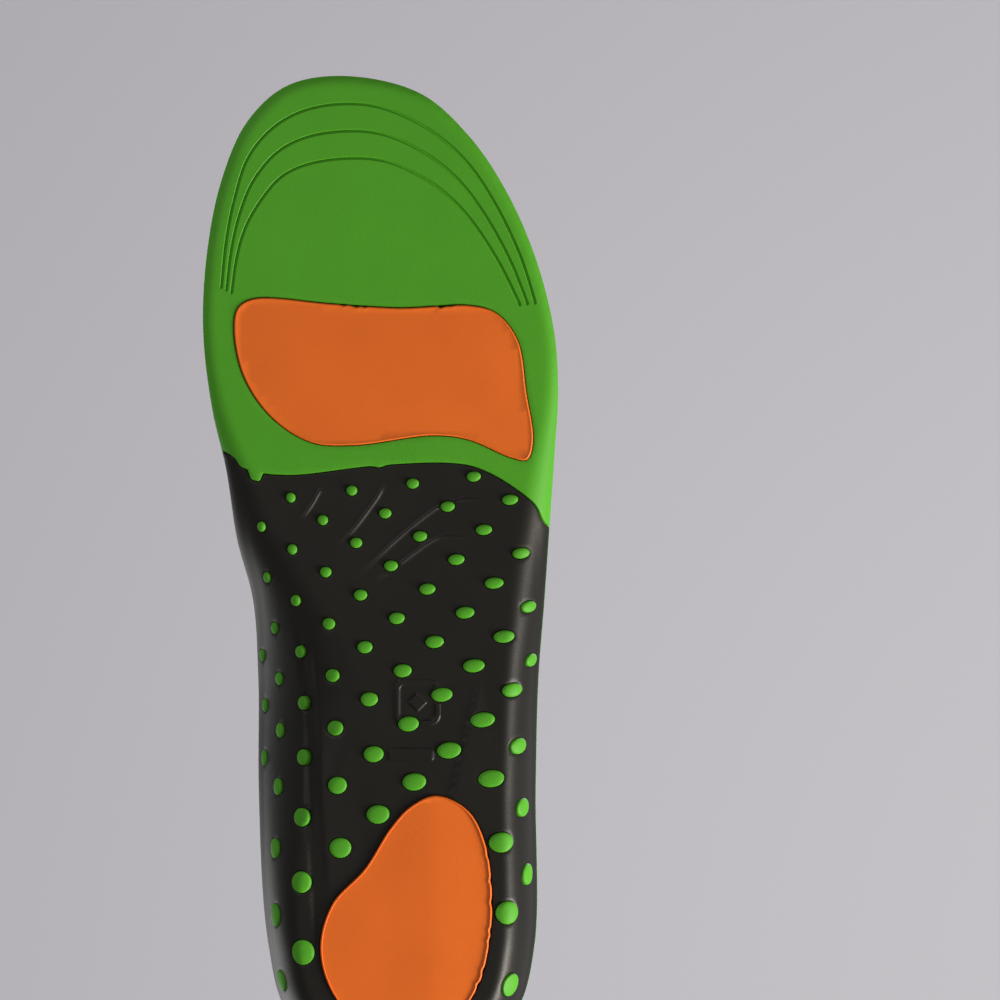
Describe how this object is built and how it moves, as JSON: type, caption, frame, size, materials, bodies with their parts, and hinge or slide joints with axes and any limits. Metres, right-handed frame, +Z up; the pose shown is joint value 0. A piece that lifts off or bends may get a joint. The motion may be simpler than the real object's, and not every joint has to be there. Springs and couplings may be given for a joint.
{
  "type": "cushioned insole",
  "caption": "Full-length cushioned shoe insole for a left foot: foam base, stiff perforated arch and heel shell, soft forefoot and heel pads and a cloth cover.",
  "frame": {"origin": "middle of the heel, on the flat underside of the heel pad, which is the plane the insole rests on", "axes": "+Z up towards the foot, +Y along the insole towards the heel end, +X towards the outer (lateral) side"},
  "size_m": [0.088, 0.2499, 0.0282],
  "materials": {
    "cover_cloth": "matte knitted mesh",
    "base_foam": "fine-grained matte moulded foam",
    "shell_plastic": "satin moulded elastomer",
    "pad_foam": "matte soft gel foam"
  },
  "bodies": {
    "root": {"top_cover": "cover_cloth", "foam_base": "base_foam", "arch_heel_shell": "shell_plastic", "forefoot_pad": "pad_foam", "heel_pad": "pad_foam"}
  },
  "joints": []
}
